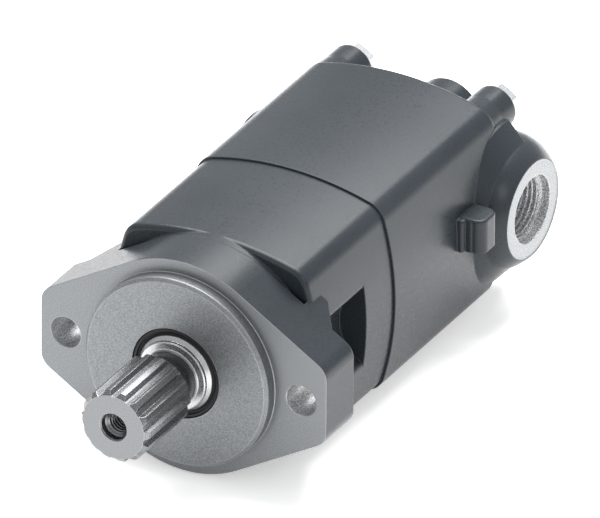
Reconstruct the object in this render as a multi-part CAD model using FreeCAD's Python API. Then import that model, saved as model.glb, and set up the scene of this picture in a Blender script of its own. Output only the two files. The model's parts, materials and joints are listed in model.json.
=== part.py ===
import FreeCAD, Part
import math
import os

# Orbital hydraulic motor with a two-bolt flange and a splined shaft.
# Frame: origin at the centre of the flange's mounting face, +X along the flange ears,
# +Y along the shaft axis towards the rear of the motor, +Z up. Millimetres.

V = FreeCAD.Vector
X_AXIS = V(1, 0, 0)
Y_AXIS = V(0, 1, 0)

# Driving dimensions -------------------------------------------------------------------------

# Mounting flange: two-bolt, 82.55 mm pilot, 106.4 mm hole spacing
FLANGE_THICKNESS = 21.5
FLANGE_BARREL_R = 47.0
EAR_HALF_LENGTH = 64.5
EAR_FLAT_HALF_WIDTH = 11.75
EAR_CORNER_R = 7.5
EAR_HOLE_X = 53.2
EAR_HOLE_R = 6.75
PILOT_R = 41.275
PILOT_HEIGHT = 6.35
PILOT_CHAMFER = 1.4

# Crowned square body, its corners coaxial with the four housing bolts
BOLT_OFFSET = 32.6
CROWN_R = 129.0
FRONT_CORNER_R = 9.6
REAR_CORNER_R = 10.5
BODY_START_Y = 24.0
SEAM_Y = 84.5
REAR_FACE_Y = 173.4
EDGE_ROUND = 2.2
SPOT_FACE_R = 18.8
SPOT_FACE_END_Y = 63.0
SPOT_FACE_EDGE_ROUND = 2.4

# Housing bolts, 3/8 inch
BOLT_R = 4.76
BOLT_THREAD_HOLE_R = 4.86
BOLT_CLEARANCE_R = 5.1
BOLT_TIP_Y = 66.0
BOLT_BOSS_R = 9.45
BOLT_BOSS_END_Y = 190.2
BOLT_HEAD_FLATS = 14.3
BOLT_HEAD_HEIGHT = 6.0

# Ports, 1-1/16 inch O-ring boss: the left one further forward than the right one
RIGHT_PORT_Y = 176.5
LEFT_PORT_Y = 155.1
PORT_FACE_X = 58.0
PORT_FACE_R = 20.9
PORT_SPOT_R = 20.6
PORT_SPOT_DEPTH = 0.3
RIGHT_DOME_R = 28.6
LEFT_DOME_R = 25.0
PORT_DOME_WIDEST_X = 42.0
PORT_DOME_ROOT_X = 35.0
PORT_THREAD_R = 12.85
RIGHT_THREAD_DEPTH = 22.0
LEFT_THREAD_DEPTH = 20.0
PORT_MOUTH_R = 14.3
PORT_MOUTH_DEPTH = 4.0
PORT_COLLAR_R = 34.5
PORT_COLLAR_END_Y = 182.0
CHEEK_START_X = 36.0
CHEEK_END_Y = 183.5
CROSS_BARREL_R = 22.0
CROSS_BARREL_END_X = -8.0
PASSAGE_R = 4.6
PASSAGE_X = 28.2

# Small cast lug in front of the right port
LUG_START_Y = 136.0
LUG_END_Y = 149.0
LUG_BOTTOM_Z = -1.0
LUG_HEIGHT = 14.7

# Case drain boss on the rear
DRAIN_Z = 11.0
DRAIN_BOSS_R = 14.6
DRAIN_FACE_Y = 211.5
DRAIN_HOLE_R = 6.4
DRAIN_HOLE_DEPTH = 16.0
DRAIN_PASSAGE_R = 2.2
DRAIN_PLUG_FLATS = 14.3

# Output shaft: 14 teeth on 31.2 mm
SPLINE_TEETH = 14
SPLINE_TIP_R = 15.6
SPLINE_ROOT_R = 13.7
SPLINE_START_Y = -55.0
SPLINE_END_Y = -19.0
SPLINE_CHAMFER = 1.7
NECK_R = 11.3
SHOULDER_Y = -9.2
SEAL_JOURNAL_R = 16.4
COLLAR_R = 20.5
JOURNAL_R = 17.5
SHAFT_END_Y = 66.0
END_HOLE_R = 4.1
END_HOLE_MOUTH_R = 6.2
END_HOLE_DEPTH = 26.0

# Seals
DUST_SEAL_R = 19.65
SHAFT_SEAL_R = 24.0

# Tapered roller bearings
BEARING_WIDTH = 16.0
FRONT_BEARING_Y = 12.0
REAR_BEARING_Y = 44.0
FRONT_CUP_R = 29.0
REAR_CUP_R = 31.0
BEARING_SLOPE = 13.0
TAPER_ROLLER_R = 2.9
TAPER_ROLLER_COUNT = 18
RACE_GAP = 0.05
CAGE_THICKNESS = 1.4

# Rotating group: six-lobed star in a ring of seven rollers
ECCENTRICITY = 2.8
ROLLER_CIRCLE_R = 29.5
ROLLER_R = 6.5
ROLLER_COUNT = 7
LOBE_COUNT = ROLLER_COUNT - 1
STAR_GAP = 0.1
POCKET_GAP = 0.05
RING_BORE_R = 29.0
GROUP_R = 39.9
GROUP_BORE_R = 40.0
WEAR_PLATE_END_Y = 91.0
RING_END_Y = 117.0
VALVE_PLATE_END_Y = 127.0
DISC_VALVE_END_Y = 142.0
BALANCE_PLATE_END_Y = 151.0
CAVITY_END_Y = 155.0
FACE_GAP = 0.1

# Splined links between shaft, star and valve
LINK_TEETH = 12
SOCKET_TIP_R = 11.0
SOCKET_ROOT_R = 13.4
LINK_TIP_R = 12.6
LINK_ROOT_R = 10.3
LINK_SHANK_R = 8.6
LINK_TOOTH_HALF_DEG = 5.9
SOCKET_GAP_HALF_DEG = 8.6
SHAFT_SOCKET_MID_Y = 43.0
STAR_FRONT_MID_Y = 98.0
STAR_REAR_MID_Y = 112.5
VALVE_SOCKET_MID_Y = 138.0
DRIVE_LINK_TOOTH_LENGTH = 10.0
VALVE_LINK_TOOTH_LENGTH = 5.0

# Disc valve
VALVE_R = 33.0
PORT_RING_R = 26.5
PORT_RING_HOLE_R = 2.5
BALANCE_PIN_HOLE_R = 2.0


# Shape helpers ------------------------------------------------------------------------------

def cylinder(radius, y0, y1, x=0.0, z=0.0):
    """Cylinder parallel to the shaft axis, from y0 to y1."""
    return Part.makeCylinder(radius, y1 - y0, V(x, y0, z), Y_AXIS)


def cone(r0, r1, y0, y1, x=0.0, z=0.0):
    """Cone parallel to the shaft axis, radius r0 at y0 and r1 at y1."""
    return Part.makeCone(r0, r1, y1 - y0, V(x, y0, z), Y_AXIS)


def tube(outer_r, inner_r, y0, y1):
    """Ring around the shaft axis."""
    return cylinder(outer_r, y0, y1).cut(cylinder(inner_r, y0, y1))


def turned(profile):
    """Solid of revolution about the shaft axis from (radius, y) points."""
    points = [V(radius, y, 0) for radius, y in profile]
    wire = Part.makePolygon(points + points[:1])
    return Part.Face(wire).revolve(V(0, 0, 0), Y_AXIS, 360)


def ring_seal(radius, section_r, y):
    """O-ring around the shaft axis."""
    return Part.makeTorus(radius, section_r, V(0, y, 0), Y_AXIS)


def extruded(edges, y0, y1):
    """Solid between y0 and y1 from an outline drawn at y0."""
    wire = Part.Wire(Part.__sortEdges__(edges))
    return Part.Face(wire).extrude(V(0, y1 - y0, 0))


def polar(radius, degrees, y=0.0):
    """Point at a radius and an angle from +X towards +Z."""
    angle = math.radians(degrees)
    return V(radius * math.cos(angle), y, radius * math.sin(angle))


def turned_about(shape, degrees):
    """Copy of a shape turned about the shaft axis, from +X towards +Z."""
    copy = shape.copy()
    copy.rotate(V(0, 0, 0), Y_AXIS, -degrees)
    return copy


def fuse_all(shapes):
    """One solid from overlapping shapes."""
    result = shapes[0].multiFuse(shapes[1:])
    return result.removeSplitter()


def cut_all(shape, tools):
    """The shape with every tool taken out."""
    return shape.cut(Part.makeCompound(tools))


def bolt_places():
    """Axes of the four housing bolts, as (x, z)."""
    return [(x, z) for x in (-BOLT_OFFSET, BOLT_OFFSET) for z in (-BOLT_OFFSET, BOLT_OFFSET)]


def crowned_square(corner_r, y0, y1):
    """Square bar with crowned sides and round corners coaxial with the bolts."""
    reach = math.sqrt((CROWN_R - corner_r) ** 2 - BOLT_OFFSET ** 2)
    crown_centre = BOLT_OFFSET - reach
    stretch = CROWN_R / (CROWN_R - corner_r)
    tangent = (crown_centre + reach * stretch, BOLT_OFFSET * stretch)
    tangent_deg = math.degrees(math.atan2(tangent[1], tangent[0]))
    tangent_r = math.hypot(*tangent)
    corner_mid_r = BOLT_OFFSET * math.sqrt(2) + corner_r
    side_r = crown_centre + CROWN_R
    edges = []
    for turn in range(0, 360, 90):
        side_start = polar(tangent_r, turn - tangent_deg, y0)
        side_mid = polar(side_r, turn, y0)
        side_end = polar(tangent_r, turn + tangent_deg, y0)
        corner_mid = polar(corner_mid_r, turn + 45, y0)
        corner_end = polar(tangent_r, turn + 90 - tangent_deg, y0)
        edges.append(Part.Arc(side_start, side_mid, side_end).toShape())
        edges.append(Part.Arc(side_end, corner_mid, corner_end).toShape())
    return extruded(edges, y0, y1)


def flange_plate(y0, y1):
    """Round flange with two ears, flat at their ends."""
    corner = V(EAR_HALF_LENGTH - EAR_CORNER_R, 0, EAR_FLAT_HALF_WIDTH)
    centre_deg = math.degrees(math.atan2(corner.z, corner.x))
    ratio = (FLANGE_BARREL_R - EAR_CORNER_R) / corner.Length
    normal_deg = centre_deg + math.degrees(math.acos(ratio))
    barrel_point = polar(FLANGE_BARREL_R, normal_deg)
    ear_point = corner + polar(EAR_CORNER_R, normal_deg)
    corner_mid = corner + polar(EAR_CORNER_R, normal_deg / 2)
    corner_end = V(EAR_HALF_LENGTH, 0, EAR_FLAT_HALF_WIDTH)

    def placed(point, side, top):
        return V(point.x * side, y0, point.z * top)

    edges = []
    for top in (1, -1):
        left = placed(barrel_point, -1, top)
        right = placed(barrel_point, 1, top)
        edges.append(Part.Arc(left, V(0, y0, FLANGE_BARREL_R * top), right).toShape())
        for side in (1, -1):
            start = placed(barrel_point, side, top)
            ear = placed(ear_point, side, top)
            middle = placed(corner_mid, side, top)
            end = placed(corner_end, side, top)
            edges.append(Part.LineSegment(start, ear).toShape())
            edges.append(Part.Arc(ear, middle, end).toShape())
    for side in (1, -1):
        upper = placed(corner_end, side, 1)
        lower = placed(corner_end, side, -1)
        edges.append(Part.LineSegment(upper, lower).toShape())
    return extruded(edges, y0, y1)


def toothed_bar(teeth, root_r, tip_r, root_half_deg, tip_half_deg, y0, y1):
    """Bar with straight-flanked teeth, or the cutter for a socket of the same form."""
    pitch = 360.0 / teeth
    edges = []
    for index in range(teeth):
        middle = index * pitch
        foot_before = polar(root_r, middle - root_half_deg, y0)
        tip_before = polar(tip_r, middle - tip_half_deg, y0)
        tip_middle = polar(tip_r, middle, y0)
        tip_after = polar(tip_r, middle + tip_half_deg, y0)
        foot_after = polar(root_r, middle + root_half_deg, y0)
        root_middle = polar(root_r, middle + pitch / 2, y0)
        next_foot = polar(root_r, middle + pitch - root_half_deg, y0)
        edges.append(Part.LineSegment(foot_before, tip_before).toShape())
        edges.append(Part.Arc(tip_before, tip_middle, tip_after).toShape())
        edges.append(Part.LineSegment(tip_after, foot_after).toShape())
        edges.append(Part.Arc(foot_after, root_middle, next_foot).toShape())
    return extruded(edges, y0, y1)


def hexagon_bar(flats, y0, y1, x=0.0, z=0.0):
    """Hexagonal bar with one corner pointing up."""
    corner_r = flats / math.sqrt(3)
    points = [polar(corner_r, 90 + 60 * index, y0) + V(x, 0, z) for index in range(6)]
    wire = Part.makePolygon(points + points[:1])
    return Part.Face(wire).extrude(V(0, y1 - y0, 0))


# Housings -----------------------------------------------------------------------------------

def ear_webs():
    """Ramps that carry the body sides out to the backs of the ears."""
    web_reach = 9.0
    web_length = 12.0
    inner_x = 42.0
    side_x = 46.5
    back_y = FLANGE_THICKNESS - 1
    envelope = flange_plate(back_y - 1, back_y + web_length + 2)
    webs = []
    for side in (1, -1):
        points = [V(inner_x * side, back_y, -30),
                  V((side_x + web_reach) * side, back_y, -30),
                  V(side_x * side, back_y + web_length, -30),
                  V(inner_x * side, back_y + web_length, -30)]
        wire = Part.makePolygon(points + points[:1])
        webs.append(Part.Face(wire).extrude(V(0, 0, 60)).common(envelope))
    return webs


def spot_face_side_edges(body):
    """Straight edges along Y where the spot faces behind the ears open through the body sides."""
    edges = []
    for edge in body.Edges:
        box = edge.BoundBox
        from_axis = math.hypot(abs(box.Center.x) - EAR_HOLE_X, box.Center.z)
        if max(box.XLength, box.ZLength) < 0.01 and abs(from_axis - SPOT_FACE_R) < 0.01:
            edges.append(edge)
    return edges


def front_housing():
    """Cast flange, pilot and bearing housing in one piece."""
    body = crowned_square(FRONT_CORNER_R, BODY_START_Y, SEAM_Y)
    front_edges = [e for e in body.Edges if abs(e.BoundBox.YMax - BODY_START_Y) < 0.01]
    body = body.makeFillet(EDGE_ROUND, front_edges)
    spot_faces = [cylinder(SPOT_FACE_R, FLANGE_THICKNESS, SPOT_FACE_END_Y, x=EAR_HOLE_X * side)
                  for side in (1, -1)]
    body = cut_all(body, spot_faces)
    body = body.makeFillet(SPOT_FACE_EDGE_ROUND, spot_face_side_edges(body))
    barrel = cylinder(FLANGE_BARREL_R - 0.25, 1, BODY_START_Y + 8)
    pilot = turned([(0, 1), (PILOT_R, 1), (PILOT_R, PILOT_CHAMFER - PILOT_HEIGHT),
                    (PILOT_R - PILOT_CHAMFER, -PILOT_HEIGHT), (0, -PILOT_HEIGHT)])
    plate = flange_plate(0, FLANGE_THICKNESS)
    housing = fuse_all([plate, barrel, body, pilot] + ear_webs())

    tools = spot_faces + [
        cylinder(DUST_SEAL_R, -PILOT_HEIGHT - 1, -1),
        cylinder(18.0, -2, 2),
        cylinder(SHAFT_SEAL_R, 1, 9.5),
        cylinder(27.0, 9, FRONT_BEARING_Y + 1),
        cylinder(FRONT_CUP_R, FRONT_BEARING_Y, REAR_BEARING_Y + 1),
        cylinder(REAR_CUP_R, REAR_BEARING_Y, REAR_BEARING_Y + BEARING_WIDTH + 1),
        cylinder(REAR_CUP_R + 0.5, REAR_BEARING_Y + BEARING_WIDTH, SEAM_Y + 1),
        tube(37.6, 34.4, SEAM_Y - 2.0, SEAM_Y + 1),
    ]
    for side in (1, -1):
        ear_x = EAR_HOLE_X * side
        tools.append(cylinder(EAR_HOLE_R, -1, FLANGE_THICKNESS + 3, x=ear_x))
    for x, z in bolt_places():
        tools.append(cylinder(BOLT_THREAD_HOLE_R, BOLT_TIP_Y - 3, SEAM_Y + 1, x=x, z=z))
    return cut_all(housing, tools)


def port_dome(side, port_y, dome_r):
    """As-cast boss of one port: a dome about the port's axis, rounded at its inner end."""
    root_r = CROSS_BARREL_R
    shoulder_r = root_r + 0.6 * (dome_r - root_r)
    brow_r = dome_r - 0.34 * (dome_r - PORT_FACE_R)
    root = V(PORT_DOME_ROOT_X, root_r, 0)
    shoulder = V(PORT_DOME_ROOT_X + 2.2, shoulder_r, 0)
    widest = V(PORT_DOME_WIDEST_X, dome_r, 0)
    brow = V(PORT_FACE_X - 6.0, brow_r, 0)
    face_edge = V(PORT_FACE_X, PORT_FACE_R, 0)
    root_centre = V(PORT_DOME_ROOT_X, 0, 0)
    face_centre = V(PORT_FACE_X, 0, 0)
    edges = [
        Part.LineSegment(root_centre, root).toShape(),
        Part.Arc(root, shoulder, widest).toShape(),
        Part.Arc(widest, brow, face_edge).toShape(),
        Part.LineSegment(face_edge, face_centre).toShape(),
        Part.LineSegment(face_centre, root_centre).toShape(),
    ]
    dome = Part.Face(Part.Wire(edges)).revolve(V(0, 0, 0), X_AXIS, 360)
    if side < 0:
        dome = dome.mirror(V(0, 0, 0), X_AXIS)
    dome.translate(V(0, port_y, 0))
    return dome


def port_collar():
    """Hollow blend between the body side and the right port's dome."""
    root_x = 40.0
    foot = V(43.6, PORT_COLLAR_R, 0)
    hollow = V(47.8, 30.0, 0)
    top = V(51.5, 26.0, 0)
    points = [top, V(top.x, 0, 0), V(root_x, 0, 0), V(root_x, PORT_COLLAR_R, 0), foot]
    edges = [Part.LineSegment(p, q).toShape() for p, q in zip(points, points[1:])]
    edges.append(Part.Arc(foot, hollow, top).toShape())
    collar = Part.Face(Part.Wire(edges)).revolve(V(0, 0, 0), X_AXIS, 360)
    collar.translate(V(0, RIGHT_PORT_Y, 0))
    ahead = Part.makeBox(80, 80, 80, V(0, PORT_COLLAR_END_Y - 80, -40))
    return collar.common(ahead)


def port_cheek():
    """Body side carried on past the rear face, between the two right bolt bosses."""
    section = crowned_square(BOLT_BOSS_R - 0.05, REAR_FACE_Y - 5, CHEEK_END_Y)
    outside = Part.makeBox(20, 30, 100, V(CHEEK_START_X, REAR_FACE_Y - 5, -50))
    return section.common(outside)


def cross_barrel():
    """Round-ended barrel behind the rear face that carries the right port's drilling."""
    start = V(CROSS_BARREL_END_X, RIGHT_PORT_Y, 0)
    length = PORT_FACE_X - 8.0 - CROSS_BARREL_END_X
    barrel = Part.makeCylinder(CROSS_BARREL_R, length, start, X_AXIS)
    end_edges = [e for e in barrel.Edges if e.BoundBox.XMax < CROSS_BARREL_END_X + 0.01]
    return barrel.makeFillet(6.0, end_edges)


def lug_block(x0, x1, y0, y1, height, corner_r):
    """Upright block on the body side, its outer corners and top edge rounded."""
    block = Part.makeBox(x1 - x0, y1 - y0, height, V(x0, y0, LUG_BOTTOM_Z))
    upright = [e for e in block.Edges if e.BoundBox.ZLength > 1 and e.BoundBox.XMin > x1 - 0.01]
    block = block.makeFillet(corner_r, upright)
    top_z = LUG_BOTTOM_Z + height
    top_edges = [e for e in block.Edges if e.BoundBox.ZMin > top_z - 0.01]
    return block.makeFillet(1.1, top_edges)


def side_lug():
    """Small cast lug with upright ridges, in front of the right port."""
    slab = lug_block(42.0, 50.2, 133.8, 146.0, LUG_HEIGHT - 0.6, 1.4)
    ridge = lug_block(48.0, 53.7, LUG_START_Y - 0.4, 146.0, LUG_HEIGHT - 0.3, 1.5)
    block = lug_block(47.0, PORT_FACE_X, LUG_START_Y, LUG_END_Y, LUG_HEIGHT, 4.2)
    return fuse_all([slab, ridge, block])


def port_bore(side, port_y, thread_depth):
    """Spot face, mouth and thread bore of one port."""
    outward = V(side, 0, 0)
    inward = V(-side, 0, 0)
    face = V((PORT_FACE_X - PORT_SPOT_DEPTH) * side, port_y, 0)
    end = V((PORT_FACE_X - thread_depth) * side, port_y, 0)
    depth = (end - face).Length
    return [
        Part.makeCylinder(PORT_SPOT_R, 3, face, outward),
        Part.makeCylinder(PORT_MOUTH_R, PORT_MOUTH_DEPTH, face, inward),
        Part.makeCylinder(PORT_THREAD_R, depth, face, inward),
    ]


def rear_drillings():
    """Both port bores, the right port's passage and the case drain."""
    tools = port_bore(1, RIGHT_PORT_Y, RIGHT_THREAD_DEPTH)
    tools += port_bore(-1, LEFT_PORT_Y, LEFT_THREAD_DEPTH)
    cross_start = V(PORT_FACE_X - RIGHT_THREAD_DEPTH + 1, RIGHT_PORT_Y, 0)
    tools.append(Part.makeCylinder(PASSAGE_R, cross_start.x - PASSAGE_X, cross_start, -X_AXIS))
    tools.append(cylinder(PASSAGE_R, CAVITY_END_Y - 1, RIGHT_PORT_Y, x=PASSAGE_X))
    drain_bottom = DRAIN_FACE_Y - DRAIN_HOLE_DEPTH
    tools.append(cylinder(DRAIN_HOLE_R, drain_bottom, DRAIN_FACE_Y + 1, z=DRAIN_Z))
    tools.append(cylinder(DRAIN_PASSAGE_R, CAVITY_END_Y - 1, drain_bottom + 1, z=DRAIN_Z))
    return tools


def rear_housing():
    """Cast port housing around the rotating group."""
    body = crowned_square(REAR_CORNER_R, SEAM_Y, REAR_FACE_Y)
    rear_edges = [e for e in body.Edges if abs(e.BoundBox.YMin - REAR_FACE_Y) < 0.01]
    body = body.makeFillet(EDGE_ROUND, rear_edges)
    solids = [body, port_dome(1, RIGHT_PORT_Y, RIGHT_DOME_R)]
    solids.append(port_dome(-1, LEFT_PORT_Y, LEFT_DOME_R))
    solids += [port_collar(), port_cheek(), cross_barrel(), side_lug()]
    boss_start = REAR_FACE_Y - 10
    solids.append(cylinder(DRAIN_BOSS_R, boss_start, DRAIN_FACE_Y, z=DRAIN_Z))
    for x, z in bolt_places():
        solids.append(cylinder(BOLT_BOSS_R, boss_start, BOLT_BOSS_END_Y, x=x, z=z))
        solids.append(cone(REAR_CORNER_R - 0.1, BOLT_BOSS_R, REAR_FACE_Y - 3, REAR_FACE_Y + 7,
                           x=x, z=z))
    housing = fuse_all(solids)

    tools = [cylinder(GROUP_BORE_R, SEAM_Y - 1, CAVITY_END_Y)]
    for x, z in bolt_places():
        tools.append(cylinder(BOLT_CLEARANCE_R, SEAM_Y - 1, BOLT_BOSS_END_Y + 1, x=x, z=z))
    for x, z in balance_pin_places():
        tools.append(cylinder(BALANCE_PIN_HOLE_R, CAVITY_END_Y - 1, CAVITY_END_Y + 6, x=x, z=z))
    return cut_all(housing, tools + rear_drillings())


# Shaft group --------------------------------------------------------------------------------

def output_shaft():
    """Splined shaft with its shoulder, bearing journal and internal spline."""
    tip_half = 4.3
    root_half = 8.8
    teeth = toothed_bar(SPLINE_TEETH, SPLINE_ROOT_R, SPLINE_TIP_R, root_half, tip_half,
                        SPLINE_START_Y, SPLINE_END_Y)
    envelope = turned([
        (0, SPLINE_START_Y),
        (SPLINE_TIP_R - SPLINE_CHAMFER, SPLINE_START_Y),
        (SPLINE_TIP_R + 0.1, SPLINE_START_Y + SPLINE_CHAMFER + 0.1),
        (SPLINE_TIP_R + 0.1, SPLINE_END_Y - 2.6),
        (SPLINE_ROOT_R - 0.6, SPLINE_END_Y),
        (0, SPLINE_END_Y),
    ])
    teeth = teeth.common(envelope)
    stem = turned([
        (0, SPLINE_END_Y - 1),
        (NECK_R, SPLINE_END_Y - 1),
        (NECK_R, SHOULDER_Y - 0.8),
        (NECK_R + 0.8, SHOULDER_Y),
        (14.6, SHOULDER_Y),
        (15.0, SHOULDER_Y + 0.4),
        (15.0, SHOULDER_Y + 1.5),
        (SEAL_JOURNAL_R, SHOULDER_Y + 3.0),
        (SEAL_JOURNAL_R, 9.6),
        (COLLAR_R, 9.6),
        (COLLAR_R, FRONT_BEARING_Y),
        (JOURNAL_R, FRONT_BEARING_Y),
        (JOURNAL_R, SHAFT_END_Y - 0.8),
        (JOURNAL_R - 0.8, SHAFT_END_Y),
        (0, SHAFT_END_Y),
    ])
    shaft = fuse_all([teeth, stem])
    half_length = 7.0
    socket = toothed_bar(LINK_TEETH, SOCKET_TIP_R, SOCKET_ROOT_R, SOCKET_GAP_HALF_DEG,
                         SOCKET_GAP_HALF_DEG - 0.6, SHAFT_SOCKET_MID_Y - half_length,
                         SHAFT_SOCKET_MID_Y + half_length)
    tools = [
        cylinder(END_HOLE_R, SPLINE_START_Y - 1, SPLINE_START_Y + END_HOLE_DEPTH),
        cone(END_HOLE_MOUTH_R + 0.5, END_HOLE_MOUTH_R - 0.6, SPLINE_START_Y - 0.5,
             SPLINE_START_Y + 0.6),
        cylinder(END_HOLE_MOUTH_R - 0.6, SPLINE_START_Y - 1, SPLINE_START_Y + 3.2),
        cone(END_HOLE_MOUTH_R - 0.6, END_HOLE_R, SPLINE_START_Y + 3.2, SPLINE_START_Y + 4.6),
        cylinder(SOCKET_ROOT_R + 0.3, SHAFT_SOCKET_MID_Y - half_length - 6,
                 SHAFT_SOCKET_MID_Y - half_length + 0.1),
        socket,
        cylinder(SOCKET_ROOT_R + 0.3, SHAFT_SOCKET_MID_Y + half_length - 0.1, SHAFT_END_Y + 1),
    ]
    return cut_all(shaft, tools)


def dust_seal():
    """Wiper ring in the pilot face, with a lip that leans outwards to the shaft."""
    return turned([
        (DUST_SEAL_R, -1.0),
        (DUST_SEAL_R, -5.6),
        (DUST_SEAL_R - 0.5, -6.0),
        (18.2, -6.0),
        (18.0, -5.2),
        (17.3, -5.0),
        (SEAL_JOURNAL_R + 0.06, -5.9),
        (SEAL_JOURNAL_R + 0.06, -4.9),
        (17.4, -3.4),
        (17.4, -1.0),
    ])


def shaft_seal():
    """Pressure lip seal behind the wiper."""
    return turned([
        (SHAFT_SEAL_R, 1.0),
        (SHAFT_SEAL_R, 7.4),
        (22.4, 7.4),
        (22.4, 3.6),
        (19.4, 3.6),
        (17.6, 6.9),
        (SEAL_JOURNAL_R + 0.06, 5.9),
        (SEAL_JOURNAL_R + 0.06, 4.9),
        (17.6, 1.0),
    ])


def seal_washer():
    """Flat washer that holds the pressure seal in its bore."""
    return tube(SHAFT_SEAL_R, SEAL_JOURNAL_R + 0.6, 7.4, 8.9)


def bearing_mean_r(cup_r):
    """Radius of the rollers' middle circle."""
    return (cup_r + JOURNAL_R) / 2 + 0.2


def race_radius(cup_r, offset_deg, along, gap):
    """Radius of a race at a distance from the bearing's middle, towards its large end."""
    apex_distance = bearing_mean_r(cup_r) / math.tan(math.radians(BEARING_SLOPE))
    slope = math.tan(math.radians(BEARING_SLOPE + offset_deg))
    return (apex_distance + along) * slope + gap


def roller_half_deg(cup_r):
    """Half angle of the tapered rollers."""
    reach = bearing_mean_r(cup_r) / math.sin(math.radians(BEARING_SLOPE))
    return math.degrees(math.atan(TAPER_ROLLER_R / reach))


def taper_roller(cup_r, grow, extra_length):
    """One tapered roller in the +X half, its large end towards +Y, centred on y = 0."""
    mean_r = bearing_mean_r(cup_r)
    tilt = math.radians(BEARING_SLOPE)
    length = 11.0 + extra_length
    taper = math.tan(math.radians(roller_half_deg(cup_r)))
    reach = mean_r / math.sin(tilt)
    direction = V(math.sin(tilt), math.cos(tilt), 0)
    start = V(mean_r, 0, 0) - direction * (length / 2)
    small_r = (reach - length / 2) * taper + grow
    large_r = (reach + length / 2) * taper + grow
    return Part.makeCone(small_r, large_r, length, start, direction)


def tapered_bearing(cup_r, y0, large_end_back):
    """Cup, cone, rollers and cage of one tapered roller bearing."""
    half = BEARING_WIDTH / 2
    lean = roller_half_deg(cup_r)

    def inner(along):
        return race_radius(cup_r, -lean, along, -RACE_GAP)

    def outer(along):
        return race_radius(cup_r, lean, along, RACE_GAP)

    cup = turned([(cup_r, -half), (cup_r, half), (outer(half), half), (outer(-half), -half)])
    rib_r = inner(6.6) + 1.6
    cone_ring = turned([
        (JOURNAL_R, -half), (inner(-half), -half), (inner(6.3), 6.3), (rib_r, 6.3),
        (rib_r, half), (JOURNAL_R, half),
    ])
    rollers = []
    pockets = []
    for index in range(TAPER_ROLLER_COUNT):
        angle = 360.0 * index / TAPER_ROLLER_COUNT
        rollers.append(turned_about(taper_roller(cup_r, 0, 0), angle))
        pockets.append(turned_about(taper_roller(cup_r, 0.15, 0.3), angle))

    def cage_r(along, side):
        return race_radius(cup_r, 0, along, side * CAGE_THICKNESS / 2)

    cage = turned([
        (cage_r(-7.0, -1), -7.0), (cage_r(-7.0, 1), -7.0),
        (cage_r(7.6, 1) + 0.1, 7.6), (cage_r(7.6, -1) + 0.1, 7.6),
    ])
    cage = cut_all(cage, pockets)
    pieces = [cup, cone_ring, Part.makeCompound(rollers), cage]
    if not large_end_back:
        pieces = [piece.mirror(V(0, 0, 0), Y_AXIS) for piece in pieces]
    for piece in pieces:
        piece.translate(V(0, y0 + half, 0))
    return pieces


def bearing_spacer():
    """Sleeve between the two bearing cones."""
    return tube(JOURNAL_R + 2.4, JOURNAL_R, FRONT_BEARING_Y + BEARING_WIDTH, REAR_BEARING_Y)


def bearing_nut():
    """Slotted ring nut that holds the cones on the shaft."""
    y0 = REAR_BEARING_Y + BEARING_WIDTH
    nut = tube(JOURNAL_R + 5.0, JOURNAL_R, y0, y0 + 5.0)
    slot = Part.makeBox(3.0, 5.2, 4.0, V(JOURNAL_R + 3.2, y0 - 0.1, -2.0))
    return cut_all(nut, [turned_about(slot, 90 * index + 45) for index in range(4)])


# Rotating group -----------------------------------------------------------------------------

def lobe_outline(y):
    """Closed spline of the star: the rollers' path in the star's frame, offset inwards."""
    points = []
    steps = 14 * LOBE_COUNT
    offset = ROLLER_R + STAR_GAP
    for step in range(steps):
        angle = 2 * math.pi * step / steps
        fast = ROLLER_COUNT * angle
        path_x = ROLLER_CIRCLE_R * math.cos(angle) - ECCENTRICITY * math.cos(fast)
        path_z = ROLLER_CIRCLE_R * math.sin(angle) - ECCENTRICITY * math.sin(fast)
        along_x = -ROLLER_CIRCLE_R * math.sin(angle)
        along_x += ROLLER_COUNT * ECCENTRICITY * math.sin(fast)
        along_z = ROLLER_CIRCLE_R * math.cos(angle)
        along_z -= ROLLER_COUNT * ECCENTRICITY * math.cos(fast)
        speed = math.hypot(along_x, along_z)
        star_x = path_x - offset * along_z / speed
        star_z = path_z + offset * along_x / speed
        points.append(V(star_x + ECCENTRICITY, y, star_z))
    curve = Part.BSplineCurve()
    curve.interpolate(points, True)
    return Part.Wire([curve.toShape()])


def rotor_star():
    """Six-lobed rotor with a splined hole through it."""
    y0 = WEAR_PLATE_END_Y + FACE_GAP
    y1 = RING_END_Y - FACE_GAP
    star = Part.Face(lobe_outline(y0)).extrude(V(0, y1 - y0, 0))
    socket = toothed_bar(LINK_TEETH, SOCKET_TIP_R, SOCKET_ROOT_R, SOCKET_GAP_HALF_DEG,
                         SOCKET_GAP_HALF_DEG - 0.6, y0 - 1, y1 + 1)
    socket.translate(V(ECCENTRICITY, 0, 0))
    return star.cut(socket)


def roller_place(index):
    """Axis of one stator roller, as (x, z)."""
    point = polar(ROLLER_CIRCLE_R, 360.0 * index / ROLLER_COUNT)
    return point.x, point.z


def stator_roller(index):
    """One plain roller of the stator, its ends lightly chamfered."""
    x, z = roller_place(index)
    y0 = WEAR_PLATE_END_Y + FACE_GAP
    y1 = RING_END_Y - FACE_GAP
    roller = turned([(0, y0), (ROLLER_R - 0.4, y0), (ROLLER_R, y0 + 0.4),
                     (ROLLER_R, y1 - 0.4), (ROLLER_R - 0.4, y1), (0, y1)])
    roller.translate(V(x, 0, z))
    return roller


def stator_ring():
    """Ring that holds the rollers in half-round pockets."""
    ring = tube(GROUP_R, RING_BORE_R, WEAR_PLATE_END_Y, RING_END_Y)
    tools = []
    for index in range(ROLLER_COUNT):
        x, z = roller_place(index)
        tools.append(cylinder(ROLLER_R + POCKET_GAP, WEAR_PLATE_END_Y - 1, RING_END_Y + 1,
                              x=x, z=z))
    return cut_all(ring, tools)


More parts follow.
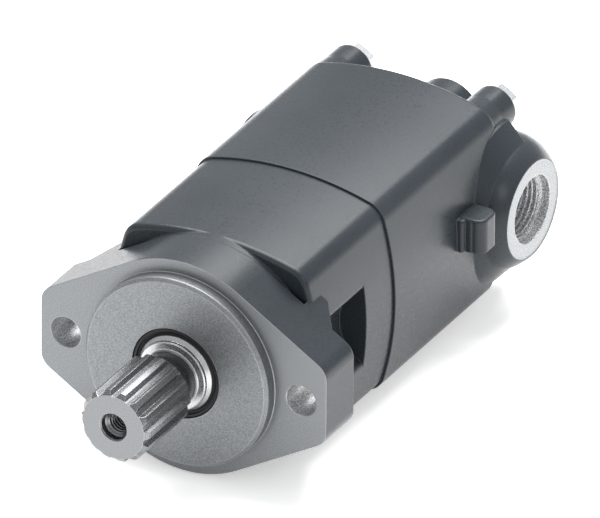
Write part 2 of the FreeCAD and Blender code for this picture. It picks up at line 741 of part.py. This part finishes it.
def wear_plate():
    """Flat plate in front of the rotor, with a seal groove in its rim."""
    plate = tube(GROUP_R, 14.6, SEAM_Y, WEAR_PLATE_END_Y)
    middle = (SEAM_Y + WEAR_PLATE_END_Y) / 2
    return plate.cut(tube(GROUP_R + 1, 37.4, middle - 1.5, middle + 1.5))


def valve_plate():
    """Plate with one slot per chamber between the rotor and the disc valve."""
    plate = tube(GROUP_R, 13.5, RING_END_Y, VALVE_PLATE_END_Y)
    middle = (RING_END_Y + VALVE_PLATE_END_Y) / 2
    tools = [tube(GROUP_R + 1, 37.4, middle - 1.5, middle + 1.5)]
    for index in range(ROLLER_COUNT):
        angle = 360.0 * (index + 0.5) / ROLLER_COUNT
        place = polar(PORT_RING_R, angle)
        tools.append(cylinder(PORT_RING_HOLE_R, RING_END_Y - 1, VALVE_PLATE_END_Y + 1,
                              x=place.x, z=place.z))
    return cut_all(plate, tools)


def disc_valve():
    """Rotating valve: through holes and edge slots by turns, driven by a splined hole."""
    y0 = VALVE_PLATE_END_Y + FACE_GAP
    y1 = DISC_VALVE_END_Y
    valve = cylinder(VALVE_R, y0, y1)
    tools = [
        cylinder(14.2, y0 - 1, VALVE_SOCKET_MID_Y - 3.4),
        toothed_bar(LINK_TEETH, SOCKET_TIP_R, SOCKET_ROOT_R, SOCKET_GAP_HALF_DEG,
                    SOCKET_GAP_HALF_DEG - 0.6, VALVE_SOCKET_MID_Y - 3.5, y1 + 1),
    ]
    for index in range(LOBE_COUNT):
        through = polar(PORT_RING_R, 60.0 * index)
        tools.append(cylinder(PORT_RING_HOLE_R, y0 - 1, y1 + 1, x=through.x, z=through.z))
        slot = Part.makeBox(VALVE_R, 6.0, 4.4, V(PORT_RING_R - 2.5, y0 - 1, -2.2))
        tools.append(turned_about(slot, 60.0 * index + 30))
    return cut_all(valve, tools)


def balance_pin_places():
    """Axes of the two pins that keep the balance plate from turning."""
    return [(0.0, 30.0), (0.0, -30.0)]


def balance_plate():
    """Sprung plate that closes the rear face of the disc valve, with feed holes."""
    y0 = DISC_VALVE_END_Y + FACE_GAP
    seal_y = BALANCE_PLATE_END_Y - 2.6
    plate = tube(36.0, 9.8, y0, BALANCE_PLATE_END_Y)
    tools = [
        tube(23.0, 20.0, seal_y, BALANCE_PLATE_END_Y + 1),
        tube(37.0, 33.4, seal_y, BALANCE_PLATE_END_Y + 1),
    ]
    for x, z in balance_pin_places():
        tools.append(cylinder(BALANCE_PIN_HOLE_R, BALANCE_PLATE_END_Y - 5,
                              BALANCE_PLATE_END_Y + 1, x=x, z=z))
    for index in range(LOBE_COUNT):
        feed = polar(PORT_RING_R, 60.0 * index)
        tools.append(cylinder(PORT_RING_HOLE_R, y0 - 1, BALANCE_PLATE_END_Y + 1,
                              x=feed.x, z=feed.z))
    return cut_all(plate, tools)


def balance_spring():
    """Conical spring washer behind the balance plate."""
    return turned([(15.0, BALANCE_PLATE_END_Y + 0.1), (16.2, BALANCE_PLATE_END_Y + 0.1),
                   (19.4, CAVITY_END_Y - 0.1), (18.2, CAVITY_END_Y - 0.1)])


def balance_pins():
    """Two locating pins between the balance plate and the rear housing."""
    pins = []
    for x, z in balance_pin_places():
        pins.append(cylinder(BALANCE_PIN_HOLE_R - 0.05, BALANCE_PLATE_END_Y - 4.9,
                             CAVITY_END_Y + 5.8, x=x, z=z))
    return Part.makeCompound(pins)


def balance_seal_inner():
    """Small face seal of the balance plate."""
    return tube(22.9, 20.1, BALANCE_PLATE_END_Y - 2.5, CAVITY_END_Y - 0.1)


def balance_seal_outer():
    """Large face seal of the balance plate."""
    return tube(36.0, 33.5, BALANCE_PLATE_END_Y - 2.5, CAVITY_END_Y - 0.1)


def splined_link(y_start, y_end, teeth_length, socket_mid_front, socket_mid_rear):
    """Upright link with a toothed crown at each end, on the shaft axis."""
    shapes = [cylinder(LINK_SHANK_R, y_start + 0.5, y_end - 0.5)]
    for middle in (socket_mid_front, socket_mid_rear):
        crown = toothed_bar(LINK_TEETH, LINK_ROOT_R, LINK_TIP_R, LINK_TOOTH_HALF_DEG,
                            LINK_TOOTH_HALF_DEG - 1.6, middle - teeth_length / 2,
                            middle + teeth_length / 2)
        half = teeth_length / 2
        rounded = turned([(0, middle - half), (LINK_TIP_R - 0.9, middle - half),
                          (LINK_TIP_R, middle - half + 1.2), (LINK_TIP_R, middle + half - 1.2),
                          (LINK_TIP_R - 0.9, middle + half), (0, middle + half)])
        shapes.append(crown.common(rounded))
    return fuse_all(shapes)


def drive_link():
    """Long link from the shaft's spline to the star, leaning by the eccentricity."""
    link = splined_link(SHAFT_SOCKET_MID_Y - 6.0, STAR_FRONT_MID_Y + 5.8,
                        DRIVE_LINK_TOOTH_LENGTH, SHAFT_SOCKET_MID_Y, STAR_FRONT_MID_Y)
    lean = math.degrees(math.atan(ECCENTRICITY / (STAR_FRONT_MID_Y - SHAFT_SOCKET_MID_Y)))
    link.rotate(V(0, SHAFT_SOCKET_MID_Y, 0), V(0, 0, 1), -lean)
    return link


def valve_link():
    """Short link from the star to the disc valve, leaning back to the shaft axis."""
    link = splined_link(STAR_REAR_MID_Y - 3.8, VALVE_SOCKET_MID_Y + 3.3,
                        VALVE_LINK_TOOTH_LENGTH, STAR_REAR_MID_Y, VALVE_SOCKET_MID_Y)
    lean = math.degrees(math.atan(ECCENTRICITY / (VALVE_SOCKET_MID_Y - STAR_REAR_MID_Y)))
    link.rotate(V(0, VALVE_SOCKET_MID_Y, 0), V(0, 0, 1), lean)
    return link


def link_spacer():
    """Round button that keeps the two links apart inside the star."""
    return cylinder(7.0, STAR_FRONT_MID_Y + 6.8, STAR_REAR_MID_Y - 5.0, x=ECCENTRICITY)


# Seals and fasteners ------------------------------------------------------------------------

def housing_seal():
    """O-ring in the front housing's rear face."""
    return ring_seal(36.0, 0.98, SEAM_Y - 1.0)


def plate_seals():
    """O-rings in the rims of the wear plate and the valve plate."""
    wear_middle = (SEAM_Y + WEAR_PLATE_END_Y) / 2
    valve_middle = (RING_END_Y + VALVE_PLATE_END_Y) / 2
    rings = [ring_seal(38.68, 1.25, middle) for middle in (wear_middle, valve_middle)]
    return Part.makeCompound(rings)


def hexagon_head(flats, y0, height, x, z):
    """Hexagon head with its outer corners turned off."""
    corner_r = flats / math.sqrt(3)
    head = hexagon_bar(flats, y0, y0 + height, x, z)
    crown = turned([(0, y0), (corner_r + 0.2, y0), (corner_r + 0.2, y0 + height - 0.7),
                    (flats / 2 - 0.2, y0 + height), (0, y0 + height)])
    crown.translate(V(x, 0, z))
    return head.common(crown)


def housing_bolts():
    """Four long hexagon bolts that clamp the two housings together."""
    bolts = []
    for x, z in bolt_places():
        shank = cylinder(BOLT_R, BOLT_TIP_Y, BOLT_BOSS_END_Y + 1, x=x, z=z)
        head = hexagon_head(BOLT_HEAD_FLATS, BOLT_BOSS_END_Y, BOLT_HEAD_HEIGHT, x, z)
        bolts.append(shank.fuse(head))
    return Part.makeCompound(bolts)


def drain_plug():
    """Hexagon plug in the case drain boss."""
    shank = cylinder(DRAIN_HOLE_R - 0.04, DRAIN_FACE_Y - 11.0, DRAIN_FACE_Y + 1, z=DRAIN_Z)
    collar = cylinder(9.6, DRAIN_FACE_Y, DRAIN_FACE_Y + 2.0, z=DRAIN_Z)
    head = hexagon_head(DRAIN_PLUG_FLATS, DRAIN_FACE_Y + 1.0, 6.0, 0.0, DRAIN_Z)
    groove = tube(10.0, 5.2, DRAIN_FACE_Y - 2.4, DRAIN_FACE_Y)
    groove.translate(V(0, 0, DRAIN_Z))
    return fuse_all([shank, collar, head]).cut(groove)


def drain_plug_seal():
    """O-ring under the drain plug's head."""
    return Part.makeTorus(5.8, 0.55, V(0, DRAIN_FACE_Y - 1.2, DRAIN_Z), Y_AXIS)


# All sub-parts ------------------------------------------------------------------------------

def build_nodes():
    """Every sub-part's shape by node name."""
    nodes = {
        "front_housing": front_housing(),
        "rear_housing": rear_housing(),
        "output_shaft": output_shaft(),
        "dust_seal": dust_seal(),
        "shaft_seal": shaft_seal(),
        "seal_washer": seal_washer(),
        "bearing_spacer": bearing_spacer(),
        "bearing_nut": bearing_nut(),
        "drive_link": drive_link(),
        "valve_link": valve_link(),
        "link_spacer": link_spacer(),
        "wear_plate": wear_plate(),
        "stator_ring": stator_ring(),
        "rotor_star": rotor_star(),
        "valve_plate": valve_plate(),
        "disc_valve": disc_valve(),
        "balance_plate": balance_plate(),
        "balance_spring": balance_spring(),
        "balance_pins": balance_pins(),
        "balance_seal_inner": balance_seal_inner(),
        "balance_seal_outer": balance_seal_outer(),
        "housing_seal": housing_seal(),
        "plate_seals": plate_seals(),
        "housing_bolts": housing_bolts(),
        "drain_plug": drain_plug(),
        "drain_plug_seal": drain_plug_seal(),
    }
    bearings = {
        "front_bearing": tapered_bearing(FRONT_CUP_R, FRONT_BEARING_Y, False),
        "rear_bearing": tapered_bearing(REAR_CUP_R, REAR_BEARING_Y, True),
    }
    for name, pieces in bearings.items():
        for piece_name, shape in zip(("cup", "cone", "rollers", "cage"), pieces):
            nodes[name + "_" + piece_name] = shape
    for index in range(ROLLER_COUNT):
        nodes["stator_roller_" + str(index + 1)] = stator_roller(index)
    return nodes


os.makedirs("parts", exist_ok=True)
for node_name, node_shape in build_nodes().items():
    node_shape.exportStep("parts/" + node_name + ".step")
    print(node_name, node_shape.isValid(), round(node_shape.Volume, 1))
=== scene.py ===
import json
import math

import bpy
from mathutils import Matrix, Vector


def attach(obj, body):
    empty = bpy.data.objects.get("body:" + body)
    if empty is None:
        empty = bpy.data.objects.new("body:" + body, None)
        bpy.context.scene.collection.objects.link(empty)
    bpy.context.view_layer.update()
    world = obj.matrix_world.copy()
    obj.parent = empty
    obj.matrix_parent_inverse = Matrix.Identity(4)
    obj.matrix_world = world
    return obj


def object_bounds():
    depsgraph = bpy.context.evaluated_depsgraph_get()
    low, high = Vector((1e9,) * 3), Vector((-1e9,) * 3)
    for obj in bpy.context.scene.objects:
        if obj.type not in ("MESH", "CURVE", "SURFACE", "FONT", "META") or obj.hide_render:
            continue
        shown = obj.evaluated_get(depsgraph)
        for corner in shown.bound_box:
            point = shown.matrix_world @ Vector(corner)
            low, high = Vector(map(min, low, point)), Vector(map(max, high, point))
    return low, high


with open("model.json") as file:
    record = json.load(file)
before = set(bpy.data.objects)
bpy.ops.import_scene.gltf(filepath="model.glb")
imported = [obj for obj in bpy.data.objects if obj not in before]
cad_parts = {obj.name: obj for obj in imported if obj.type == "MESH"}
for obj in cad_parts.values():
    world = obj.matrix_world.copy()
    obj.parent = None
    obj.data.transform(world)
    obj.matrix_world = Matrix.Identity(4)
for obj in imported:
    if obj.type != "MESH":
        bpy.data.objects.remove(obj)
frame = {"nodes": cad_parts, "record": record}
cad_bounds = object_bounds()
nodes = frame["nodes"]

MM = 0.001
RIGHT_PORT_Y = 176.5 * MM
LEFT_PORT_Y = 155.1 * MM


# Camera ---------------------------------------------------------------------------------------

def add_camera():
    """A very long lens, looking down on the shaft end from three quarters."""
    azimuth = math.radians(29.55)
    elevation = math.radians(29.97)
    roll = math.radians(-0.31)
    distance = 11.93
    width = 0.2352
    sensor = 36.0
    target_right = 0.0457
    target_up = 0.0421
    right = Vector((math.cos(azimuth), math.sin(azimuth), 0))
    back = Vector((math.sin(azimuth) * math.cos(elevation),
                   -math.cos(azimuth) * math.cos(elevation), math.sin(elevation)))
    up = back.cross(right)
    image_right = right * math.cos(roll) - up * math.sin(roll)
    image_up = right * math.sin(roll) + up * math.cos(roll)
    target = image_right * target_right + image_up * target_up
    farthest_seen = 100
    data = bpy.data.cameras.new("camera")
    data.sensor_width = sensor
    data.lens = sensor * distance / width
    data.clip_end = farthest_seen
    camera = bpy.data.objects.new("camera", data)
    bpy.context.scene.collection.objects.link(camera)
    axes = Matrix((image_right, image_up, back)).transposed().to_4x4()
    camera.matrix_world = Matrix.Translation(target + back * distance) @ axes
    bpy.context.scene.camera = camera


# Floor and lights -----------------------------------------------------------------------------

def add_floor():
    """A wide pale floor just under the motor, glowing a little so that it stays white there."""
    half = 6.0
    gap = 0.2 * MM
    glow = 0.40
    mesh = bpy.data.meshes.new("floor")
    corners = [(-half, -half, 0), (half, -half, 0), (half, half, 0), (-half, half, 0)]
    mesh.from_pydata(corners, [], [(0, 1, 2, 3)])
    floor = bpy.data.objects.new("floor", mesh)
    floor.location.z = cad_bounds[0][2] - gap
    bpy.context.scene.collection.objects.link(floor)
    material = bpy.data.materials.new("floor_paper")
    material.use_nodes = True
    shader = material.node_tree.nodes["Principled BSDF"]
    shader.inputs["Base Color"].default_value = (0.93, 0.93, 0.93, 1)
    shader.inputs["Roughness"].default_value = 0.9
    shader.inputs["Specular IOR Level"].default_value = 0.1
    shader.inputs["Emission Color"].default_value = (1, 1, 1, 1)
    shader.inputs["Emission Strength"].default_value = glow
    mesh.materials.append(material)


def add_area_light(name, place, size, power):
    """A soft rectangular light, of that power in watts, aimed at the middle of the motor."""
    data = bpy.data.lights.new(name, "AREA")
    data.shape = "RECTANGLE"
    data.size, data.size_y = size
    data.energy = power
    light = bpy.data.objects.new(name, data)
    light.location = place
    middle = Vector((0, 0.08, 0))
    aim = middle - Vector(place)
    light.rotation_euler = aim.to_track_quat("-Z", "Y").to_euler()
    bpy.context.scene.collection.objects.link(light)


def add_lights():
    """A large overhead softbox, two weak panels from the right and the front, and a pale room."""
    add_area_light("top_softbox", (-0.3, 0.7, 1.6), (1.6, 1.6), 86)
    add_area_light("right_softbox", (1.5, -0.6, 1.0), (0.5, 0.7), 5)
    add_area_light("front_softbox", (-0.6, -1.8, 0.7), (1.2, 0.8), 5)
    room_strength = 0.77
    world = bpy.data.worlds.new("studio")
    world.use_nodes = True
    background = world.node_tree.nodes["Background"]
    background.inputs["Color"].default_value = (1, 1, 1, 1)
    background.inputs["Strength"].default_value = room_strength
    bpy.context.scene.world = world
    bpy.context.scene.view_settings.view_transform = "Standard"


# Node helpers ---------------------------------------------------------------------------------

class Graph:
    """Short names for building one material's nodes."""

    def __init__(self, name):
        self.material = bpy.data.materials.new(name)
        self.material.use_nodes = True
        self.tree = self.material.node_tree
        self.shader = self.tree.nodes["Principled BSDF"]

    def node(self, kind, **settings):
        node = self.tree.nodes.new(kind)
        for key, value in settings.items():
            setattr(node, key, value)
        return node

    def plug(self, value, socket):
        """Links an output, or sets a constant."""
        if isinstance(value, bpy.types.NodeSocket):
            self.tree.links.new(value, socket)
        else:
            socket.default_value = value

    def math(self, operation, *values):
        node = self.node("ShaderNodeMath", operation=operation)
        for index, value in enumerate(values):
            self.plug(value, node.inputs[index])
        return node.outputs[0]

    def ramp(self, value, low, high, out_low=0.0, out_high=1.0):
        """Value mapped from low..high to out_low..out_high, smoothly and clamped."""
        node = self.node("ShaderNodeMapRange", interpolation_type="SMOOTHSTEP")
        self.plug(value, node.inputs["Value"])
        node.inputs["From Min"].default_value = low
        node.inputs["From Max"].default_value = high
        node.inputs["To Min"].default_value = out_low
        node.inputs["To Max"].default_value = out_high
        return node.outputs["Result"]

    def mix(self, factor, first, second):
        node = self.node("ShaderNodeMix", data_type="RGBA")
        self.plug(factor, node.inputs["Factor"])
        self.plug(first, node.inputs[6])
        self.plug(second, node.inputs[7])
        return node.outputs[2]

    def blend(self, factor, first, second):
        node = self.node("ShaderNodeMix", data_type="FLOAT")
        self.plug(factor, node.inputs["Factor"])
        self.plug(first, node.inputs[2])
        self.plug(second, node.inputs[3])
        return node.outputs[0]

    def coordinates(self):
        """Object coordinates: a CAD node's object has the row frame's axes."""
        return self.node("ShaderNodeTexCoord").outputs["Object"]

    def separate(self, vector):
        node = self.node("ShaderNodeSeparateXYZ")
        self.plug(vector, node.inputs[0])
        return node.outputs

    def noise(self, coordinates, scale, detail=2.0, roughness=0.5):
        node = self.node("ShaderNodeTexNoise")
        self.plug(coordinates, node.inputs["Vector"])
        node.inputs["Scale"].default_value = scale
        node.inputs["Detail"].default_value = detail
        node.inputs["Roughness"].default_value = roughness
        return node.outputs["Fac"]

    def bump(self, height, strength, distance, normal=None):
        node = self.node("ShaderNodeBump")
        node.inputs["Strength"].default_value = strength
        node.inputs["Distance"].default_value = distance
        self.plug(height, node.inputs["Height"])
        if normal is not None:
            self.plug(normal, node.inputs["Normal"])
        return node.outputs["Normal"]

    def edge(self, radius):
        """1 on convex or concave edges, 0 on flat faces, from the bevelled normal."""
        bevel = self.node("ShaderNodeBevel", samples=6)
        bevel.inputs["Radius"].default_value = radius
        geometry = self.node("ShaderNodeNewGeometry")
        dot = self.node("ShaderNodeVectorMath", operation="DOT_PRODUCT")
        self.plug(bevel.outputs["Normal"], dot.inputs[0])
        self.plug(geometry.outputs["Normal"], dot.inputs[1])
        return self.ramp(dot.outputs["Value"], 0.995, 0.90, 0.0, 1.0), bevel.outputs["Normal"]


# Materials ------------------------------------------------------------------------------------

def distance(g, first, second):
    """Length of a two-dimensional offset."""
    return g.math("SQRT", g.math("ADD", g.math("MULTIPLY", first, first),
                                 g.math("MULTIPLY", second, second)))


def both(g, first, second):
    """1 where both masks are 1."""
    return g.math("MULTIPLY", first, second)


def painted_casting(name, machined, metal_dark, metal_light, speckle_scale):
    """Satin grey paint over a casting, with bare metal where the machined mask is 1."""
    paint_dark, paint_light = (0.0165, 0.0210, 0.0256, 1), (0.0222, 0.0274, 0.0325, 1)
    # Edge colours: painted highlights, lighter where rounded edges catch the light.
    paint_edge_highlight, metal_edge_highlight = (0.085, 0.092, 0.098, 1), (0.50, 0.505, 0.51, 1)
    # Bore colours: speckled bare metal, its light tone painted light that offsets the bores' shade.
    bore_dark, bore_light = (0.15, 0.156, 0.162, 1), (0.90, 0.91, 0.915, 1)
    g = Graph(name)
    where = g.coordinates()
    mask, bore_mask = machined(g, where)
    edge, soft_normal = g.edge(0.8 * MM)

    broad = g.noise(where, 18.0, 3.0)
    grain = g.noise(where, 700.0, 3.0, 0.6)
    speckle = g.noise(where, speckle_scale, 3.0, 0.75)
    paint = g.mix(g.ramp(broad, 0.3, 0.7), paint_dark, paint_light)
    # Painted highlight: the paint, and below it the bare metal, turn lighter along every edge.
    paint = g.mix(g.math("MULTIPLY", edge, 0.35), paint, paint_edge_highlight)
    metal = g.mix(g.ramp(speckle, 0.38, 0.62), metal_dark, metal_light)
    metal = g.mix(g.math("MULTIPLY", edge, 0.45), metal, metal_edge_highlight)
    # Painted light: bores and ear-hole walls are speckled bare metal, made far lighter than the
    # faces to offset the shade inside them.
    bore = g.mix(g.ramp(speckle, 0.42, 0.58), bore_dark, bore_light)
    metal = g.mix(g.math("MULTIPLY", bore_mask, 0.8), metal, bore)
    g.plug(g.mix(mask, paint, metal), g.shader.inputs["Base Color"])
    g.plug(g.math("MULTIPLY", mask, 0.80), g.shader.inputs["Metallic"])
    g.shader.inputs["Specular IOR Level"].default_value = 0.21
    paint_rough = g.ramp(grain, 0.2, 0.8, 0.25, 0.35)
    metal_rough = g.ramp(speckle, 0.3, 0.7, 0.38, 0.52)
    g.plug(g.blend(mask, paint_rough, metal_rough), g.shader.inputs["Roughness"])
    height = g.blend(mask, grain, speckle)
    g.plug(g.bump(height, 0.18, 0.05 * MM, soft_normal), g.shader.inputs["Normal"])
    return g.material


def front_machining(g, where):
    """Mounting face, pilot, everything bored out of them, and the ear holes' walls."""
    ear_hole_x = 53.2 * MM
    ear_hole_r = 6.9 * MM
    ear_back_y = 21.4 * MM
    face_y = 0.02 * MM
    x, y, z = g.separate(where)[:3]
    face = g.math("LESS_THAN", y, face_y)
    across = g.math("SUBTRACT", g.math("ABSOLUTE", x), ear_hole_x)
    hole = g.math("LESS_THAN", distance(g, across, z), ear_hole_r)
    hole = both(g, hole, g.math("LESS_THAN", y, ear_back_y))
    hole_wall = both(g, hole, g.math("GREATER_THAN", y, face_y))
    return g.math("MAXIMUM", face, hole), hole_wall


def rear_machining(g, where):
    """Spot face, mouth and bore of both ports."""
    spot_r = 20.62 * MM
    inner_x = 34.0 * MM
    mouth_r = 14.4 * MM
    x, y, z = g.separate(where)[:3]
    on_right = g.math("GREATER_THAN", x, 0.0)
    across = g.math("SUBTRACT", y, g.blend(on_right, LEFT_PORT_Y, RIGHT_PORT_Y))
    radius = distance(g, across, z)
    outer = g.math("GREATER_THAN", g.math("ABSOLUTE", x), inner_x)
    mask = both(g, g.math("LESS_THAN", radius, spot_r), outer)
    bore_mask = both(g, g.math("LESS_THAN", radius, mouth_r), outer)
    return mask, bore_mask


def turned_steel(name, dark, light, roughness):
    """Steel turned about the shaft axis, with painted highlights on its edges, a painted shadow on
    the neck and a painted highlight on the collar of the shaft.
    """
    neck_front_y, neck_back_y = -19.3 * MM, -9.9 * MM
    collar_front_y, collar_back_y = -9.5 * MM, -4.0 * MM
    # Painted shadow colour for the neck, painted highlight colour for the collar.
    neck_shadow_colour, collar_highlight_colour = (0.03, 0.032, 0.034, 1), (0.50, 0.51, 0.515, 1)
    # Painted highlight colour for the edges.
    edge_highlight_colour = (0.55, 0.555, 0.56, 1)
    rings_per_metre = 2200.0
    g = Graph(name)
    where = g.coordinates()
    edge, soft_normal = g.edge(0.3 * MM)
    y = g.separate(where)[1]
    rings = g.node("ShaderNodeTexNoise", noise_dimensions="1D")
    g.plug(g.math("MULTIPLY", y, rings_per_metre), rings.inputs["W"])
    rings.inputs["Scale"].default_value = 1.0
    grain = g.noise(where, 2800.0, 2.0)
    finish = g.math("ADD", g.math("MULTIPLY", rings.outputs["Fac"], 0.6),
                    g.math("MULTIPLY", grain, 0.4))
    colour = g.mix(g.ramp(finish, 0.3, 0.7), dark, light)
    in_neck = both(g, g.math("GREATER_THAN", y, neck_front_y),
                   g.math("LESS_THAN", y, neck_back_y))
    # Painted highlight: the steel turns lighter along its edges.
    colour = g.mix(g.math("MULTIPLY", edge, 0.6), colour, edge_highlight_colour)
    # Painted highlight: the collar is lightened as if it caught the light.
    on_collar = both(g, g.math("GREATER_THAN", y, collar_front_y),
                     g.math("LESS_THAN", y, collar_back_y))
    colour = g.mix(g.math("MULTIPLY", on_collar, 0.7), colour, collar_highlight_colour)
    # Painted shadow: the neck behind the splines is darkened, standing in for the splines' shade.
    g.plug(g.mix(g.math("MULTIPLY", in_neck, 0.6), colour, neck_shadow_colour),
           g.shader.inputs["Base Color"])
    g.shader.inputs["Metallic"].default_value = 0.9
    g.plug(g.ramp(grain, 0.25, 0.75, roughness - 0.05, roughness + 0.07),
           g.shader.inputs["Roughness"])
    g.plug(g.bump(finish, 0.12, 0.03 * MM, soft_normal), g.shader.inputs["Normal"])
    return g.material


def seal_rubber(name):
    """Matte black nitrile with a faint moulded grain."""
    g = Graph(name)
    where = g.coordinates()
    grain = g.noise(where, 1400.0, 3.0)
    g.plug(g.mix(g.ramp(grain, 0.3, 0.7), (0.006, 0.006, 0.007, 1), (0.013, 0.013, 0.014, 1)),
           g.shader.inputs["Base Color"])
    g.shader.inputs["Specular IOR Level"].default_value = 0.25
    g.plug(g.ramp(grain, 0.2, 0.8, 0.50, 0.66), g.shader.inputs["Roughness"])
    g.plug(g.bump(grain, 0.15, 0.05 * MM), g.shader.inputs["Normal"])
    return g.material


def give(material, *names):
    """Puts one material on the named CAD nodes."""
    for name in names:
        for slot in nodes[name].material_slots:
            slot.material = material


def dress_nodes():
    """A finished material for every CAD node."""
    slots = {s["node"]: s["material_slot"] for s in frame["record"]["subparts"]}
    finishes = {
        "shaft_steel": turned_steel("shaft_steel_look", (0.097, 0.101, 0.105, 1),
                                    (0.215, 0.221, 0.226, 1), 0.27),
        "zinc_steel": turned_steel("zinc_look", (0.31, 0.32, 0.33, 1), (0.48, 0.49, 0.50, 1), 0.35),
        "ground_steel": turned_steel("ground_steel_look", (0.40, 0.40, 0.41, 1),
                                     (0.60, 0.60, 0.59, 1), 0.26),
        "pressed_cage": turned_steel("pressed_cage_look", (0.28, 0.27, 0.26, 1),
                                     (0.42, 0.41, 0.39, 1), 0.42),
        "seal_rubber": seal_rubber("seal_rubber_look"),
    }
    for node, slot in slots.items():
        if slot in finishes:
            give(finishes[slot], node)
    give(painted_casting("front_paint", front_machining, (0.112, 0.119, 0.125, 1),
                         (0.215, 0.225, 0.231, 1), 2600.0), "front_housing")
    give(painted_casting("rear_paint", rear_machining, (0.16, 0.168, 0.174, 1),
                         (0.36, 0.368, 0.374, 1), 2200.0), "rear_housing")


# Threads --------------------------------------------------------------------------------------

def thread_ridge(name, body, material, mouth, inward, wall_r, crest_r, pitch, length):
    """One right-handed ridge standing in from a bore's wall, fading out over its end half turns."""
    steps_per_turn = 48
    steps = int(length / pitch * steps_per_turn)
    foot_r = wall_r + 0.04 * MM
    foot_half = 0.27 * pitch
    crest_half = 0.09 * pitch
    up = Vector((0, 0, 1))
    side = up.cross(inward)
    vertices, faces = [], []
    for step in range(steps + 1):
        angle = 2 * math.pi * step / steps_per_turn
        outward = up * math.cos(angle) - side * math.sin(angle)
        run_out = min(1.0, 2 * step / steps_per_turn, 2 * (steps - step) / steps_per_turn)
        crest = wall_r - (wall_r - crest_r) * run_out
        along = pitch * step / steps_per_turn
        section = ((foot_r, -foot_half), (crest, -crest_half), (crest, crest_half),
                   (foot_r, foot_half))
        for radius, offset in section:
            vertices.append(mouth + outward * radius + inward * (along + offset))
        if step < steps:
            first = 4 * step
            for corner in range(4):
                following = (corner + 1) % 4
                faces.append((first + corner, first + following,
                              first + 4 + following, first + 4 + corner))
    faces.append((0, 3, 2, 1))
    faces.append(tuple(4 * steps + corner for corner in range(4)))
    mesh = bpy.data.meshes.new(name)
    mesh.from_pydata(vertices, [], faces)
    mesh.materials.append(material)
    ridge = bpy.data.objects.new(name, mesh)
    bpy.context.scene.collection.objects.link(ridge)
    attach(ridge, body)


def add_threads():
    """Thread turns in both ports and in the shaft end."""
    port_metal = nodes["rear_housing"].material_slots[0].material
    port_x = 53.0 * MM
    port_wall_r = 12.85 * MM
    port_crest_r = 12.4 * MM
    port_pitch = 2.117 * MM
    right_length = 15.5 * MM
    left_length = 13.5 * MM
    thread_ridge("port_right_thread", "housing", port_metal,
                 Vector((port_x, RIGHT_PORT_Y, 0)), Vector((-1, 0, 0)),
                 port_wall_r, port_crest_r, port_pitch, right_length)
    thread_ridge("port_left_thread", "housing", port_metal,
                 Vector((-port_x, LEFT_PORT_Y, 0)), Vector((1, 0, 0)),
                 port_wall_r, port_crest_r, port_pitch, left_length)

    shaft_steel = nodes["output_shaft"].material_slots[0].material
    shaft_wall_r = 4.1 * MM
    shaft_crest_r = 3.8 * MM
    shaft_pitch = 1.5875 * MM
    shaft_length = 19.0 * MM
    thread_ridge("shaft_end_thread_turns", "shaft", shaft_steel,
                 Vector((0, -50.0 * MM, 0)), Vector((0, 1, 0)),
                 shaft_wall_r, shaft_crest_r, shaft_pitch, shaft_length)


add_camera()
add_floor()
add_lights()
dress_nodes()
add_threads()
